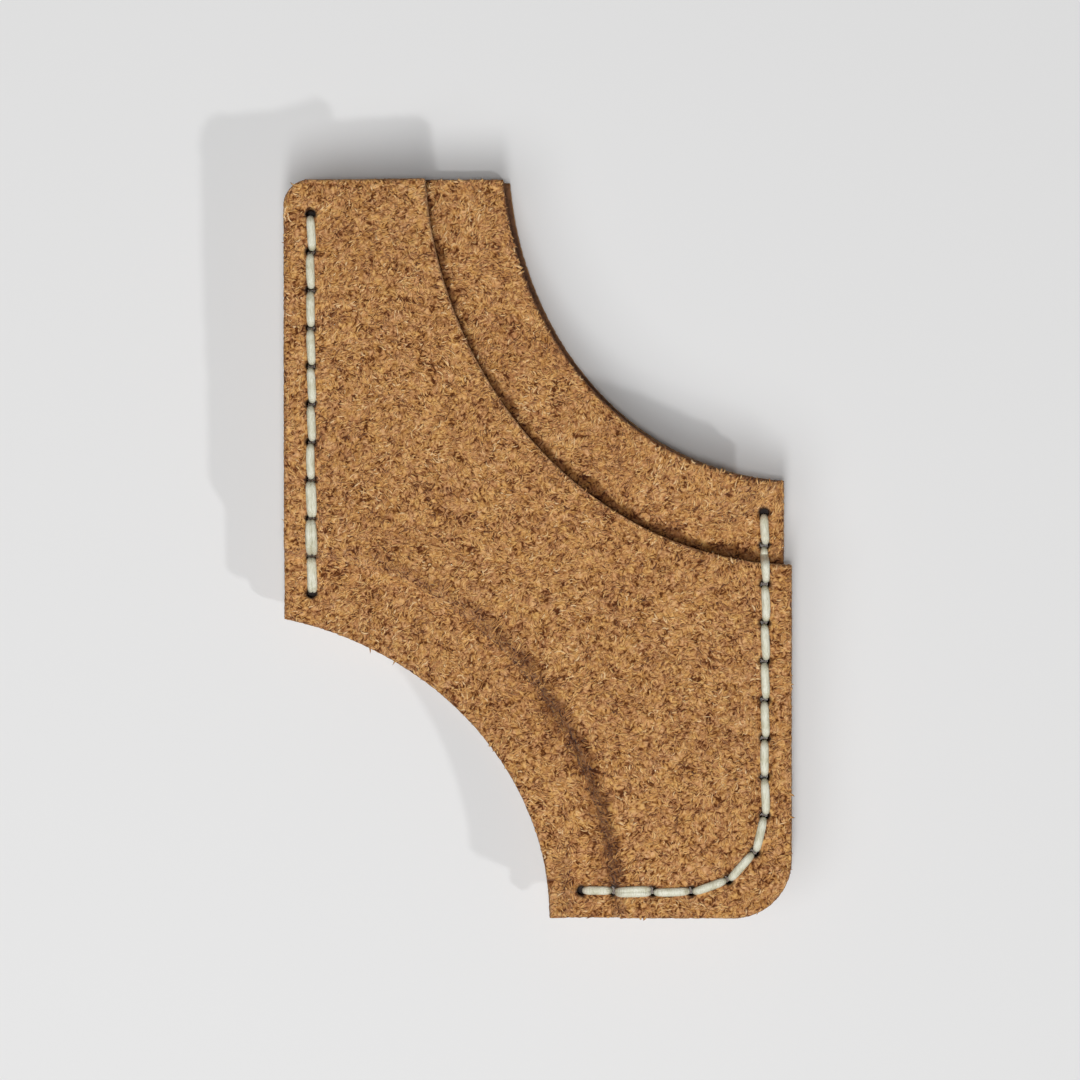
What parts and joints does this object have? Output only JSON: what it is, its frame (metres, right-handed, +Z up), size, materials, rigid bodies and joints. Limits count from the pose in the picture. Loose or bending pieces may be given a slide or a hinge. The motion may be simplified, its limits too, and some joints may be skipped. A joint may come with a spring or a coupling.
{
  "type": "leather thimble",
  "caption": "Hand-stitched rough leather finger sleeve: overlapping front flaps on a back panel, sewn up both sides, with scooped openings at opposite corners.",
  "frame": {"origin": "under the middle of the sleeve's box, on the surface that the back panel rests on", "axes": "+Z up through the front flaps, +Y along the seams toward the open top edge, +X toward the seam that turns the lower corner"},
  "size_m": [0.0405, 0.0589, 0.0094],
  "materials": {
    "back_suede": "rough suede nap, smooth grain on the lower side",
    "inner_suede": "rough suede nap",
    "outer_suede": "rough suede nap",
    "waxed_thread": "waxed linen, satin"
  },
  "bodies": {
    "root": {"back_panel": "back_suede", "inner_front_flap": "inner_suede", "outer_front_flap": "outer_suede", "left_seam_thread": "waxed_thread", "right_seam_thread": "waxed_thread"}
  },
  "joints": []
}
